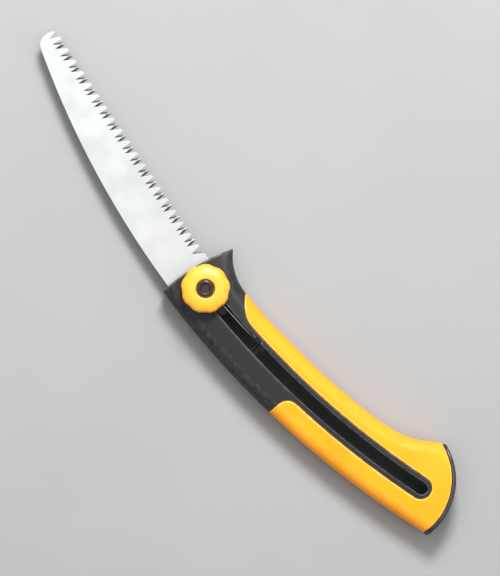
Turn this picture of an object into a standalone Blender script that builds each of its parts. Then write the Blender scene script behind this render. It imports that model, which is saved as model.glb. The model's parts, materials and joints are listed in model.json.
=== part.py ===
"""Retractable pruning saw.

A curved blade slides along an arc into a hollow handle, and a knob clamps it anywhere along a slot.
The blade's back, the slot and the handle's back edge are arcs about one centre. Places are therefore
given as (u, r): u is the distance along the slot's centre line from the knob, positive towards the
blade's tip, and r is the distance from the arc's centre. The frame's origin is where the knob's axis
meets the plane that the saw rests on; +X runs towards the blade's tip, +Y towards the blade's back.
"""

import math

import bmesh
import bpy
from mathutils import Matrix

MM = 0.001

# Driving dimensions, in millimetres.
ARC_R = 528.4                  # slot centre line, and the arc that the blade travels on
TRAVEL = 165.0                 # blade travel along that arc, out to in
GAP = 0.3                      # between neighbouring pieces

THICKNESS = 22.0               # handle, across its faces
MID_Z = THICKNESS / 2
EDGE_ROUND = 8.0               # radius of the handle's long edges
HANDLE_BACK_R = 549.3
MOUTH_CENTRE, MOUTH_R = (-110.4, 11.2), 125.0
BUTT_CENTRE, BUTT_R = (-150.2, -14.2), 38.8
# The handle's teeth-side edge: nose, finger guard, straight grip, heel.
TEETH_EDGE = [
    (24, 488.5), (14, 497.3), (8.7, 501.9), (3.3, 506.0), (-1.8, 508.6), (-7.7, 510.7), (-14.5, 511.8),
    (-26, 512.1), (-60, 511.8), (-120, 511.2), (-138, 510.2), (-149, 507.9), (-158, 504.2), (-165, 500.7),
    (-172, 500.0), (-200, 500.0),
]

GRIP_THICK = 1.6
GRIP_INNER_R, GRIP_OUTER_R = 521.8, 535.0   # the black band between them holds the slot
GRIP_END_U = -176.9                         # where the band ends

BLADE_BACK_R = 545.0
BLADE_EDGE_R = 516.2           # tooth points, near the handle
BLADE_THICK = 1.2
TANG_END_U = -13.0
TOOTH_COUNT = 37
TOOTH_PITCH = 4.01             # along the line of points
TOOTH_DEPTH = 6.6
FIRST_TOOTH_U = 167.6
SHOULDER_U = 17.4              # the plain edge between the last tooth and the handle starts here
TOOTH_LINE_BEND_U = 43.0       # the line of points leaves the arc here
TOOTH_LINE_RISE = 0.000995     # and rises by this times the square of the distance
GULLET_LAG, GULLET_SKEW = 0.85, 0.6   # gullet behind its point, and its shift from face to face

SHOE_HALF_U, SHOE_HALF = 12.0, 7.0
LUG_HALF_U, LUG_HALF = 8.6, 2.75
LUG_R = ARC_R + 0.35           # the lug keeps to the slot's back side, clear of the detent spring's foot
LUG_TOP_Z = THICKNESS - 0.4
TAIL_END_U = -18.4             # the upper shoe's tail, which runs under the detent spring
TAIL_RISE = 1.3                # from the upper shoe's underside to the tail's

# What the shoes and the tang travel in; each is cut a little longer than the travel needs.
SLOT_HALF = 3.6
SLOT_FRONT_U = LUG_HALF_U + 0.8
SLOT_REAR_U = -(TRAVEL + LUG_HALF_U + 0.9)
FLOOR_Z, CEILING_Z = 3.0, THICKNESS - 3.0
CHANNEL_HALF = SHOE_HALF + 0.6
CHANNEL_FRONT_U = SHOE_HALF_U + 0.6
CHANNEL_REAR_U = -(TRAVEL + SHOE_HALF_U + 1.4)
TAIL_CHANNEL_REAR_U = TAIL_END_U - TRAVEL - 0.9
BLADE_CHANNEL_HALF_Z = 1.6
BLADE_CHANNEL_REAR_U = TANG_END_U - TRAVEL - 0.9
RIB_U = (-47.5, -44.5)
RIB_TOP_Z = 3.9

NUT_FLATS, NUT_THICK = 10.0, 3.0
PIN_U, PIN_R, PIN_HEAD_R = 9.3, 1.25, 2.1

KNOB_R, KNOB_LOBE_DEPTH, KNOB_LOBES = 14.2, 0.5, 9
KNOB_LAND_DEG = 8.5             # half the angle of each lobe's flat top
KNOB_HEIGHT = 8.0
KNOB_BORE_R = 5.5
WASHER_R, WASHER_THICK = 9.0, 0.8
SCREW_R, SCREW_HEAD_R, SCREW_HEAD_H = 3.0, 4.7, 2.7
SCREW_HOLE_R = SCREW_R + GAP
SCREW_END_Z = RIB_TOP_Z + GAP
GROOVE_R = 2.1
CLIP_R, CLIP_THICK = 4.8, 0.8

HOUSING_SCREWS = {"nose": (7.0, 512.2), "heel": (-160.0, 510.0), "butt": (-184.0, 536.0)}
HOUSING_SCREW_R, HOUSING_HEAD_R = 1.25, 2.4
HOUSING_HEAD_Z = (1.6, 3.2)
HOUSING_SCREW_TOP_Z = 17.0

CAP_THICK = 2.4
CAP_SHIFT = 0.4                # its outer arc's centre stands off the butt's, so the rim thins at the heel
TONGUE_LENGTH, TONGUE_HALF_WIDTH, TONGUE_HALF_Z = 8.5, 4.5, 1.6

# The detent spring's leaf, tip first, as (u, r) of the face that the lug pushes aside; then its foot.
SPRING_LEAF = [(-10.0, 526.9), (-18.7, 526.5), (-30.0, 526.2), (-40.9, 525.8)]
SPRING_THICK = 0.5
SPRING_FOOT_LENGTH, SPRING_FOOT_THICK = 3.5, 2.3

# Heights that follow from them.
BLADE_Z = (MID_Z - BLADE_THICK / 2, MID_Z + BLADE_THICK / 2)
TOP_HALF_Z = (MID_Z + GAP / 2, THICKNESS + 8)
BOTTOM_HALF_Z = (-8, MID_Z - GAP / 2)
NUT_Z = (BLADE_Z[0] - GAP - NUT_THICK, BLADE_Z[0] - GAP)
NUT_SHOE_Z = (NUT_Z[0] - 0.8, NUT_Z[1])
SLOT_SHOE_Z = (BLADE_Z[1] + GAP, CEILING_Z - GAP)
TAIL_Z = (SLOT_SHOE_Z[0] + TAIL_RISE, SLOT_SHOE_Z[1])
PIN_HEAD_Z = (NUT_SHOE_Z[0] - 1.3, NUT_SHOE_Z[0] - GAP)
PIN_TOP_Z = SLOT_SHOE_Z[1] - 1.7
WASHER_Z = (THICKNESS + GAP, THICKNESS + GAP + WASHER_THICK)
KNOB_Z = (WASHER_Z[1] + GAP, WASHER_Z[1] + GAP + KNOB_HEIGHT)
SCREW_HEAD_Z = (KNOB_Z[1] - 0.4 - SCREW_HEAD_H, KNOB_Z[1] - 0.4)
CLIP_Z = (SCREW_END_Z + 0.8, SCREW_END_Z + 0.8 + CLIP_THICK)

# Name: colour, roughness, metallic.
MATERIALS = {
    "black_nylon": ((0.045, 0.045, 0.047), 0.5, 0.0),
    "amber_grip": ((0.93, 0.46, 0.02), 0.45, 0.0),
    "amber_nylon": ((0.95, 0.58, 0.05), 0.35, 0.0),
    "grey_acetal": ((0.22, 0.22, 0.23), 0.5, 0.0),
    "blade_steel": ((0.82, 0.83, 0.84), 0.32, 1.0),
    "zinc_steel": ((0.62, 0.63, 0.65), 0.35, 1.0),
    "black_steel": ((0.05, 0.045, 0.045), 0.4, 1.0),
    "brass": ((0.72, 0.52, 0.2), 0.35, 1.0),
}


def xy(u, r):
    """Plan position, in mm, of a place on the arc."""
    angle = u / ARC_R
    return r * math.sin(angle), r * math.cos(angle) - ARC_R


def spread(first, last, most):
    """Evenly spaced values from first to last, no more than `most` apart."""
    steps = max(1, math.ceil(abs(last - first) / most))
    return [first + (last - first) * k / steps for k in range(steps + 1)]


def arc_points(centre, radius, first_deg, last_deg, most_deg=5.0):
    return [
        (centre[0] + radius * math.cos(math.radians(a)), centre[1] + radius * math.sin(math.radians(a)))
        for a in spread(first_deg, last_deg, most_deg)
    ]


def smooth_value(points, at):
    """Height at `at` of the smooth curve through points listed with falling first values."""
    k = next(i for i in range(len(points) - 1) if at >= points[i + 1][0])
    (x0, y0), (x1, y1) = points[k], points[k + 1]

    def slope(i):
        before, after = points[max(i - 1, 0)], points[min(i + 1, len(points) - 1)]
        return (after[1] - before[1]) / (after[0] - before[0])

    t, run = (at - x0) / (x1 - x0), x1 - x0
    return (
        y0 * (1 + 2 * t) * (1 - t) ** 2 + slope(k) * run * t * (1 - t) ** 2
        + y1 * t * t * (3 - 2 * t) + slope(k + 1) * run * t * t * (t - 1)
    )


# ---------------------------------------------------------------- objects

def collection(name):
    made = bpy.data.collections.new(name)
    bpy.context.scene.collection.children.link(made)
    return made


def clear_scene():
    for obj in list(bpy.data.objects):
        bpy.data.objects.remove(obj, do_unlink=True)
    for group in list(bpy.data.collections):
        bpy.data.collections.remove(group)


def material(name):
    if name in bpy.data.materials:
        return bpy.data.materials[name]
    colour, roughness, metallic = MATERIALS[name]
    made = bpy.data.materials.new(name)
    made.use_nodes = True
    shader = made.node_tree.nodes["Principled BSDF"]
    shader.inputs["Base Color"].default_value = (*colour, 1.0)
    shader.inputs["Roughness"].default_value = roughness
    shader.inputs["Metallic"].default_value = metallic
    return made


def add_object(name, mesh):
    """A cutter until finish() makes it a part."""
    obj = bpy.data.objects.new(name, mesh)
    cutters.objects.link(obj)
    obj.hide_render = True
    obj.display_type = "WIRE"
    return obj


def finish(obj, surface, parent):
    """Moves an object from the cutters to the parts and hangs it on its parent empty."""
    cutters.objects.unlink(obj)
    parts.objects.link(obj)
    obj.hide_render = False
    obj.display_type = "TEXTURED"
    obj.data.materials.append(material(surface))
    obj.data.shade_smooth()
    obj.data.set_sharp_from_angle(angle=math.radians(35))
    obj.parent = parent
    obj.matrix_parent_inverse = parent.matrix_world.inverted()
    return obj


def empty_at(name, x, y, z, parent=None):
    made = bpy.data.objects.new(name, None)
    made.empty_display_size = 10 * MM
    parts.objects.link(made)
    made.parent = parent
    above = parent.matrix_world if parent else Matrix.Identity(4)
    made.matrix_parent_inverse = above.inverted()
    made.matrix_world = Matrix.Translation((x * MM, y * MM, z * MM))
    bpy.context.view_layer.update()
    return made


def prism(name, outline, z0, z1):
    """A flat outline, in mm, made as a filled 2D curve and extruded from z0 to z1."""
    curve = bpy.data.curves.new(name + "_outline", "CURVE")
    curve.dimensions = "2D"
    curve.fill_mode = "BOTH"
    curve.extrude = (z1 - z0) / 2 * MM
    spline = curve.splines.new("POLY")
    spline.points.add(len(outline) - 1)
    for point, (x, y) in zip(spline.points, outline):
        point.co = (x * MM, y * MM, 0, 1)
    spline.use_cyclic_u = True
    source = bpy.data.objects.new(name + "_outline", curve)
    source.location = (0, 0, (z0 + z1) / 2 * MM)
    cutters.objects.link(source)
    bpy.context.view_layer.update()
    mesh = bpy.data.meshes.new_from_object(source.evaluated_get(bpy.context.evaluated_depsgraph_get()))
    mesh.transform(source.matrix_world)
    mesh.name = name
    bpy.data.objects.remove(source)
    bm = bmesh.new()
    bm.from_mesh(mesh)
    bmesh.ops.remove_doubles(bm, verts=bm.verts, dist=0.001 * MM)
    bmesh.ops.recalc_face_normals(bm, faces=bm.faces)
    bm.to_mesh(mesh)
    bm.free()
    return add_object(name, mesh)


def turned(name, profile, centre=(0, 0), steps=32, closed=True):
    """A profile of (radius, z) in mm, outer side first and downwards, turned about a vertical axis."""
    mesh = bpy.data.meshes.new(name)
    edges = [(k, k + 1) for k in range(len(profile) - 1)]
    if closed:
        edges.append((len(profile) - 1, 0))
    mesh.from_pydata([(r * MM, 0, z * MM) for r, z in profile], edges, [])
    obj = add_object(name, mesh)
    obj.location = (centre[0] * MM, centre[1] * MM, 0)
    screw = obj.modifiers.new("turn", "SCREW")
    screw.steps = screw.render_steps = steps
    screw.use_merge_vertices = True
    screw.merge_threshold = 0.001 * MM
    return obj


def ring(name, outer, inner, z, centre=(0, 0), steps=32):
    return turned(name, [(outer, z[1]), (outer, z[0]), (inner, z[0]), (inner, z[1])], centre, steps)


def rod(name, steps_down, centre=(0, 0), steps=24):
    """A stepped round bar: (radius, top z, bottom z) from the top down."""
    profile = [(0, steps_down[0][1])]
    for radius, top, bottom in steps_down:
        profile += [(radius, top), (radius, bottom)]
    profile.append((0, steps_down[-1][2]))
    return turned(name, profile, centre, steps, closed=False)


def hexagon(flats, centre=(0, 0)):
    radius = flats / 2 / math.cos(math.pi / 6)
    return arc_points(centre, radius, 30, 330, 60)


def combine(target, other, how="DIFFERENCE"):
    step = target.modifiers.new(other.name, "BOOLEAN")
    step.operation = how
    step.solver = "EXACT"
    step.object = other
    return target


# ---------------------------------------------------------------- outlines and forms

def band(u0, u1, r0, r1):
    """Outline of a stretch of the arc between two radii."""
    along = spread(u0, u1, 8)
    return [xy(u, r0) for u in along] + [xy(u, r1) for u in reversed(along)]


def arc_slot(u_front, u_rear, half, centre_r=ARC_R):
    """Outline of a slot along the arc with round ends."""
    front, rear = u_front - half, u_rear + half

    def turned_end(u, first_deg):
        heading = math.degrees(-u / ARC_R) + first_deg
        return arc_points(xy(u, centre_r), half, heading, heading + 180, 20)

    back_side = [xy(u, centre_r + half) for u in spread(front, rear, 8)[1:-1]]
    teeth_side = [xy(u, centre_r - half) for u in spread(rear, front, 8)[1:-1]]
    return turned_end(front, -90) + back_side + turned_end(rear, 90) + teeth_side


def butt_arc(extra=0.0):
    """The handle's rear end, `extra` mm outside it, from beyond the back edge to beyond the heel."""
    return arc_points(BUTT_CENTRE, BUTT_R + extra, 160, 275)


def handle_outline():
    """The handle between mouth and butt, open to the sides of its long edges."""
    mouth = arc_points(MOUTH_CENTRE, MOUTH_R, -21, 7.5, 2)
    back = [xy(u, 558) for u in spread(10, -180, 20)]
    heel = [xy(u, 488) for u in spread(-160, 5, 20)]
    return mouth + back + butt_arc() + heel


def grip_outline(grow=0.0):
    """The grip panel's outline, `grow` mm outside it; open to the sides as the handle's outline is."""
    inner, outer = GRIP_INNER_R + grow, GRIP_OUTER_R - grow
    half = (outer - inner) / 2
    centre_r = (outer + inner) / 2
    end_u = GRIP_END_U + (GRIP_OUTER_R - GRIP_INNER_R) / 2
    front = [(-13.4, 506), (-17.3, 512), (-19.9, 514.7), (-22.8, 517.3), (-26.4, 519.8), (-30.6, 521.4)]
    outline = [xy(u + grow, r + grow) for u, r in front]
    outline += [xy(u, inner) for u in spread(-34.4, end_u, 8)]
    heading = math.degrees(-end_u / ARC_R)
    outline += arc_points(xy(end_u, centre_r), half, heading - 90, heading - 270, 20)[1:-1]
    outline += [xy(u, outer) for u in spread(end_u, -84, 8)]
    outline += [xy(u + grow, r - grow) for u, r in ((-80.9, 535.8), (-78.2, 537.8), (-76.9, 541.5))]
    outline += [xy(-76.4 + grow, 549.3), xy(-76.0 + grow, 558)]
    outline += [xy(u, 558) for u in spread(-80, -180, 20)]
    outline += butt_arc(3 * grow)
    outline += [xy(u, 488) for u in spread(-160, -14, 20)]
    return outline


def handle_section(u, inset):
    """Rounded rectangle across the handle at u, `inset` mm inside the skin, as (r, z)."""
    low_r = smooth_value(TEETH_EDGE, u) + inset
    high_r = HANDLE_BACK_R - inset
    low_z, high_z = inset, THICKNESS - inset
    radius = EDGE_ROUND - inset
    section = []
    for r, z, first in (
        (high_r - radius, high_z - radius, 0), (low_r + radius, high_z - radius, 90),
        (low_r + radius, low_z + radius, 180), (high_r - radius, low_z + radius, 270),
    ):
        section += arc_points((r, z), radius, first, first + 90, 18)
    return section


def handle_form(name, inset=0.0):
    """The handle's form lofted along the arc, longer than the handle at both ends."""
    stations = spread(24, -18, 3) + spread(-18, -136, 10)[1:] + spread(-136, -200, 4)[1:]
    bm = bmesh.new()
    rings = []
    for u in stations:
        places = [(*xy(u, r), z) for r, z in handle_section(u, inset)]
        rings.append([bm.verts.new([c * MM for c in place]) for place in places])
    for near, far in zip(rings, rings[1:]):
        for k in range(len(near)):
            bm.faces.new((near[k - 1], near[k], far[k], far[k - 1]))
    bm.faces.new(rings[0])
    bm.faces.new(rings[-1])
    bmesh.ops.recalc_face_normals(bm, faces=bm.faces)
    mesh = bpy.data.meshes.new(name)
    bm.to_mesh(mesh)
    bm.free()
    return add_object(name, mesh)


# ---------------------------------------------------------------- handle

def housing_screw_place(where):
    return xy(*HOUSING_SCREWS[where])


def tongue_outline(extra=0.0):
    """The end cap's tongue, along the line from the butt's centre to the butt screw."""
    sx, sy = housing_screw_place("butt")
    dx, dy = sx - BUTT_CENTRE[0], sy - BUTT_CENTRE[1]
    length = math.hypot(dx, dy)
    dx, dy = dx / length, dy / length
    near, far = BUTT_R + 1.3 - TONGUE_LENGTH - extra, BUTT_R + 1.0 + extra
    half = TONGUE_HALF_WIDTH + extra
    corners = ((near, -half), (far, -half), (far, half), (near, half))
    return [(BUTT_CENTRE[0] + dx * a - dy * b, BUTT_CENTRE[1] + dy * a + dx * b) for a, b in corners]


def handle_cutters():
    """What is cut from both shells."""
    blade_channel = prism(
        "cut_blade_channel", band(30, BLADE_CHANNEL_REAR_U, BLADE_EDGE_R - 0.8, BLADE_BACK_R + 0.8),
        MID_Z - BLADE_CHANNEL_HALF_Z, MID_Z + BLADE_CHANNEL_HALF_Z,
    )
    shoe_channel = prism(
        "cut_shoe_channel",
        band(CHANNEL_FRONT_U, CHANNEL_REAR_U, ARC_R - CHANNEL_HALF, ARC_R + CHANNEL_HALF), FLOOR_Z, CEILING_Z,
    )
    combine(shoe_channel, prism("rib", band(*RIB_U, ARC_R - 9, ARC_R + 9), FLOOR_Z - 1, RIB_TOP_Z))
    pocket = prism("cut_grip_pocket", grip_outline(GAP), -5, THICKNESS + 5)
    combine(pocket, handle_form("core_under_grip", GRIP_THICK + GAP))
    tongue = prism(
        "cut_tongue", tongue_outline(GAP), MID_Z - TONGUE_HALF_Z - GAP, MID_Z + TONGUE_HALF_Z + GAP,
    )
    screws = [
        rod(
            "cut_screw_" + where,
            [
                (HOUSING_SCREW_R + GAP, HOUSING_SCREW_TOP_Z + GAP, HOUSING_HEAD_Z[1] + GAP),
                (HOUSING_HEAD_R + 2 * GAP, HOUSING_HEAD_Z[1] + GAP, -2),
            ],
            housing_screw_place(where), 16,
        )
        for where in HOUSING_SCREWS
    ]
    return [pocket, blade_channel, shoe_channel, tongue, *screws]


def spring_outline():
    """Leaf that stands in the slot, and the thicker foot at its rear end that sits in the slot's wall."""
    root_u, root_r = SPRING_LEAF[-1]
    end_u, deep_r = root_u - SPRING_FOOT_LENGTH, root_r - SPRING_FOOT_THICK
    foot = [xy(end_u, root_r), xy(end_u, deep_r), xy(root_u, deep_r)]
    face = [xy(u, r) for u, r in SPRING_LEAF]
    behind = [xy(u, r - SPRING_THICK) for u, r in reversed(SPRING_LEAF)]
    return face + foot + behind


def spring_pocket():
    """Notch for the foot in the slot's teeth-side wall."""
    root_u, root_r = SPRING_LEAF[-1]
    return band(
        root_u + GAP, root_u - SPRING_FOOT_LENGTH - GAP,
        root_r - SPRING_FOOT_THICK - GAP, ARC_R - SLOT_HALF + 0.5,
    )


def make_shells(cuts, root):
    shell_top = combine(handle_form("shell_top"), prism("top_half", handle_outline(), *TOP_HALF_Z), "INTERSECT")
    shell_bottom = combine(
        handle_form("shell_bottom"), prism("bottom_half", handle_outline(), *BOTTOM_HALF_Z), "INTERSECT",
    )
    slot = prism("cut_slot", arc_slot(SLOT_FRONT_U, SLOT_REAR_U, SLOT_HALF), CEILING_Z - 1, THICKNESS + 5)
    pocket = prism("cut_spring_pocket", spring_pocket(), CEILING_Z - 1, THICKNESS + 5)
    tail_channel = prism(
        "cut_tail_channel", arc_slot(CHANNEL_REAR_U + 20, TAIL_CHANNEL_REAR_U, SLOT_HALF),
        TAIL_Z[0] - GAP, CEILING_Z,
    )
    for cut in (*cuts, slot, pocket, tail_channel):
        combine(shell_top, cut)
    for cut in cuts:
        combine(shell_bottom, cut)
    finish(shell_top, "black_nylon", root)
    finish(shell_bottom, "black_nylon", root)


def make_grips(cuts, root):
    core = handle_form("core_in_grip", GRIP_THICK)
    for name, half in (("grip_top", TOP_HALF_Z), ("grip_bottom", BOTTOM_HALF_Z)):
        grip = combine(handle_form(name), prism(name + "_region", grip_outline(), *half), "INTERSECT")
        combine(grip, core)
        if name == "grip_bottom":
            for cut in cuts:
                if cut.name in ("cut_screw_heel", "cut_screw_butt"):
                    combine(grip, cut)
        finish(grip, "amber_grip", root)


def make_end_cap(cuts, root):
    """A rim over the butt, with a tongue held by the butt screw."""
    outer_centre = (BUTT_CENTRE[0], BUTT_CENTRE[1] + CAP_SHIFT)
    outer = arc_points(outer_centre, BUTT_R + GAP + CAP_THICK, 150, 285)
    inner = arc_points(BUTT_CENTRE, BUTT_R + GAP, 280, 155)
    cap = handle_form("end_cap")
    combine(cap, prism("cap_region", outer + inner, -2, THICKNESS + 2), "INTERSECT")
    combine(cap, prism("tongue", tongue_outline(), MID_Z - TONGUE_HALF_Z, MID_Z + TONGUE_HALF_Z), "UNION")
    combine(cap, next(cut for cut in cuts if cut.name == "cut_screw_butt"))
    finish(cap, "black_nylon", root)


def make_detent_spring(root):
    spring = prism("detent_spring", spring_outline(), CEILING_Z + GAP, THICKNESS - GAP)
    finish(spring, "zinc_steel", root)


def make_housing_screws(root):
    """Socket screws, heads down, sunk in the lower shell."""
    for where in HOUSING_SCREWS:
        place = housing_screw_place(where)
        screw = rod(
            "housing_screw_" + where,
            [(HOUSING_SCREW_R, HOUSING_SCREW_TOP_Z, HOUSING_HEAD_Z[1]), (HOUSING_HEAD_R, *HOUSING_HEAD_Z[::-1])],
            place, 16,
        )
        combine(screw, prism("socket_" + where, hexagon(2.5, place), 0, HOUSING_HEAD_Z[0] + 1))
        finish(screw, "zinc_steel", root)


# ---------------------------------------------------------------- blade carriage

def tooth_line(u):
    return BLADE_EDGE_R + TOOTH_LINE_RISE * max(0.0, u - TOOTH_LINE_BEND_U) ** 2


def tooth_points():
    """Where the teeth's points are, u of each from the tip backwards, evenly spaced along their line."""
    u, places = FIRST_TOOTH_U, []
    for _ in range(TOOTH_COUNT):
        places.append(u)
        slope = 2 * TOOTH_LINE_RISE * max(0.0, u - TOOTH_LINE_BEND_U)
        u -= TOOTH_PITCH / math.hypot(tooth_line(u) / ARC_R, slope)
    return places


def blade_outline(face):
    """Blade outline on one face, +1 the top: the teeth's bevels shift each gullet from face to face."""
    first_gullet_u = FIRST_TOOTH_U + 2.2
    teeth = [(first_gullet_u, tooth_line(first_gullet_u) + TOOTH_DEPTH)]
    for k, point_u in enumerate(tooth_points()):
        side = 1 if k % 2 == 0 else -1
        gullet_u = point_u - GULLET_LAG - GULLET_SKEW * side * face
        teeth += [(point_u, tooth_line(point_u)), (gullet_u, tooth_line(gullet_u) + TOOTH_DEPTH)]
    shoulder = [(SHOULDER_U, BLADE_EDGE_R), (0, BLADE_EDGE_R), (TANG_END_U + 5, BLADE_EDGE_R + 0.3)]
    tang = [(TANG_END_U, 521.5), (TANG_END_U, 540.0), (TANG_END_U + 4, BLADE_BACK_R)]
    back = [(u, BLADE_BACK_R) for u in spread(0, 166.8, 10)]
    tip = [(170.2, 543.9), (172.5, 541.2), (173.7, 538.2), (173.9, 535.8), (173.3, 534.0), (172.5, 533.2)]
    return [xy(u, r) for u, r in teeth + shoulder + tang + back + tip]


def make_blade(carriage):
    """A plate lofted between its two faces' outlines, drilled for the screw and the tang pins."""
    bm = bmesh.new()
    lower = [bm.verts.new((x * MM, y * MM, BLADE_Z[0] * MM)) for x, y in blade_outline(-1)]
    upper = [bm.verts.new((x * MM, y * MM, BLADE_Z[1] * MM)) for x, y in blade_outline(1)]
    for k in range(len(lower)):
        bm.faces.new((lower[k - 1], lower[k], upper[k], upper[k - 1]))
    faces = [bm.faces.new(lower), bm.faces.new(upper)]
    bmesh.ops.triangulate(bm, faces=faces)
    bmesh.ops.recalc_face_normals(bm, faces=bm.faces)
    mesh = bpy.data.meshes.new("blade")
    bm.to_mesh(mesh)
    bm.free()
    blade = add_object("blade", mesh)
    combine(blade, rod("cut_blade_bore", [(SCREW_HOLE_R, BLADE_Z[1] + 2, BLADE_Z[0] - 2)]))
    for cut in pin_holes("blade", BLADE_Z[0] - 2, BLADE_Z[1] + 2):
        combine(blade, cut)
    finish(blade, "blade_steel", carriage)


def pin_holes(name, z0, z1):
    return [
        rod(f"cut_{name}_pin_{side}", [(PIN_R + GAP, z1, z0)], xy(side * PIN_U, ARC_R), 16)
        for side in (-1, 1)
    ]


def make_shoes(carriage):
    """Slides above and below the tang; the upper one has a lug in the slot, the lower one holds the nut."""
    block = band(SHOE_HALF_U, -SHOE_HALF_U, ARC_R - SHOE_HALF, ARC_R + SHOE_HALF)
    slot_shoe = prism("slot_shoe", block, *SLOT_SHOE_Z)
    combine(slot_shoe, prism("tail", arc_slot(0, TAIL_END_U, LUG_HALF, LUG_R), *TAIL_Z), "UNION")
    lug_outline = arc_slot(LUG_HALF_U, -LUG_HALF_U, LUG_HALF, LUG_R)
    lug = prism("lug", lug_outline, SLOT_SHOE_Z[1] - 1, LUG_TOP_Z)
    combine(slot_shoe, lug, "UNION")
    combine(slot_shoe, rod("cut_shoe_bore", [(SCREW_HOLE_R, LUG_TOP_Z + 2, SLOT_SHOE_Z[0] - 2)]))
    for cut in pin_holes("slot_shoe", SLOT_SHOE_Z[0] - 2, PIN_TOP_Z + GAP):
        combine(slot_shoe, cut)
    finish(slot_shoe, "grey_acetal", carriage)

    nut_shoe = prism("nut_shoe", block, *NUT_SHOE_Z)
    combine(nut_shoe, prism("cut_nut", hexagon(NUT_FLATS + 2 * GAP), NUT_SHOE_Z[0] - 2, NUT_SHOE_Z[1] + 2))
    for cut in pin_holes("nut_shoe", NUT_SHOE_Z[0] - 2, NUT_SHOE_Z[1] + 2):
        combine(nut_shoe, cut)
    finish(nut_shoe, "grey_acetal", carriage)


def make_carriage_hardware(carriage):
    nut = prism("clamp_nut", hexagon(NUT_FLATS), *NUT_Z)
    combine(nut, rod("cut_nut_bore", [(SCREW_HOLE_R, NUT_Z[1] + 2, NUT_Z[0] - 2)]))
    finish(nut, "zinc_steel", carriage)
    for name, side in (("tang_pin_front", 1), ("tang_pin_rear", -1)):
        pin = rod(
            name, [(PIN_R, PIN_TOP_Z, PIN_HEAD_Z[1]), (PIN_HEAD_R, *PIN_HEAD_Z[::-1])],
            xy(side * PIN_U, ARC_R), 16,
        )
        finish(pin, "zinc_steel", carriage)


# ---------------------------------------------------------------- clamp

def knob_outline():
    """Flat-topped lobes with shallow scallops between them."""
    middle = 180 / KNOB_LOBES
    outline = []
    for k in range(KNOB_LOBES):
        for deg, share in (
            (-KNOB_LAND_DEG, 0), (0, 0), (KNOB_LAND_DEG, 0), (middle - 5, 0.85), (middle, 1), (middle + 5, 0.85),
        ):
            angle = math.radians(2 * middle * k + deg)
            radius = KNOB_R - KNOB_LOBE_DEPTH * share
            outline.append((radius * math.cos(angle), radius * math.sin(angle)))
    return outline


def make_knob(knob_axis):
    knob = prism("knob", knob_outline(), *KNOB_Z)
    rounding = knob.modifiers.new("edges", "BEVEL")
    rounding.width = 1.8 * MM
    rounding.segments = 2
    rounding.limit_method = "ANGLE"
    rounding.angle_limit = math.radians(60)
    combine(knob, rod("cut_knob_bore", [(KNOB_BORE_R, KNOB_Z[1] + 2, KNOB_Z[0] - 2)], steps=32))
    finish(knob, "amber_nylon", knob_axis)
    insert = ring("knob_insert", KNOB_BORE_R - GAP, SCREW_HOLE_R, (KNOB_Z[0] + 0.2, SCREW_HEAD_Z[0] - GAP), steps=24)
    finish(insert, "brass", knob_axis)


def make_clamp_screw(knob_axis):
    groove_z = (CLIP_Z[0] - GAP, CLIP_Z[1] + GAP)
    screw = rod(
        "clamp_screw",
        [
            (SCREW_HEAD_R, *SCREW_HEAD_Z[::-1]), (SCREW_R, SCREW_HEAD_Z[0], groove_z[1]),
            (GROOVE_R, *groove_z[::-1]), (SCREW_R - 0.3, groove_z[0], SCREW_END_Z),
        ],
    )
    combine(screw, prism("cut_socket", hexagon(5.0), SCREW_HEAD_Z[1] - 1.8, SCREW_HEAD_Z[1] + 1))
    finish(screw, "black_steel", knob_axis)
    finish(ring("stop_clip", CLIP_R, GROOVE_R + GAP, CLIP_Z, steps=24), "zinc_steel", knob_axis)


def make_thrust_washer(lift_axis):
    washer = ring("thrust_washer", WASHER_R, SCREW_HOLE_R + 0.1, WASHER_Z, steps=28)
    finish(washer, "zinc_steel", lift_axis)


def main():
    root = empty_at("handle_frame", 0, 0, 0)
    carriage = empty_at("blade_slide_axis", 0, -ARC_R, MID_Z, root)
    lift_axis = empty_at("clamp_lift_axis", 0, 0, WASHER_Z[0], carriage)
    knob_axis = empty_at("knob_turn_axis", 0, 0, KNOB_Z[0], lift_axis)

    cuts = handle_cutters()
    make_shells(cuts, root)
    make_grips(cuts, root)
    make_end_cap(cuts, root)
    make_detent_spring(root)
    make_housing_screws(root)
    make_blade(carriage)
    make_shoes(carriage)
    make_carriage_hardware(carriage)
    make_thrust_washer(lift_axis)
    make_knob(knob_axis)
    make_clamp_screw(knob_axis)


clear_scene()
parts = collection("pruning_saw")
cutters = collection("cutters")
main()
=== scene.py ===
"""Looks of the retractable pruning saw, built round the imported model.

Lengths are in millimetres until a mesh is made. In plan a place is (u, r): u runs along the slot's centre
line from the knob's axis, positive towards the blade's tip, and r is the distance from the arc's centre.
On the handle's skin a place is (u, a): a runs across the skin from the slot's centre line, positive
towards the blade's back and negative towards the teeth, over the rounded edge and down to the parting line.
"""

import json
import math

import bmesh
import bpy
from mathutils import Matrix, Vector


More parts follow.
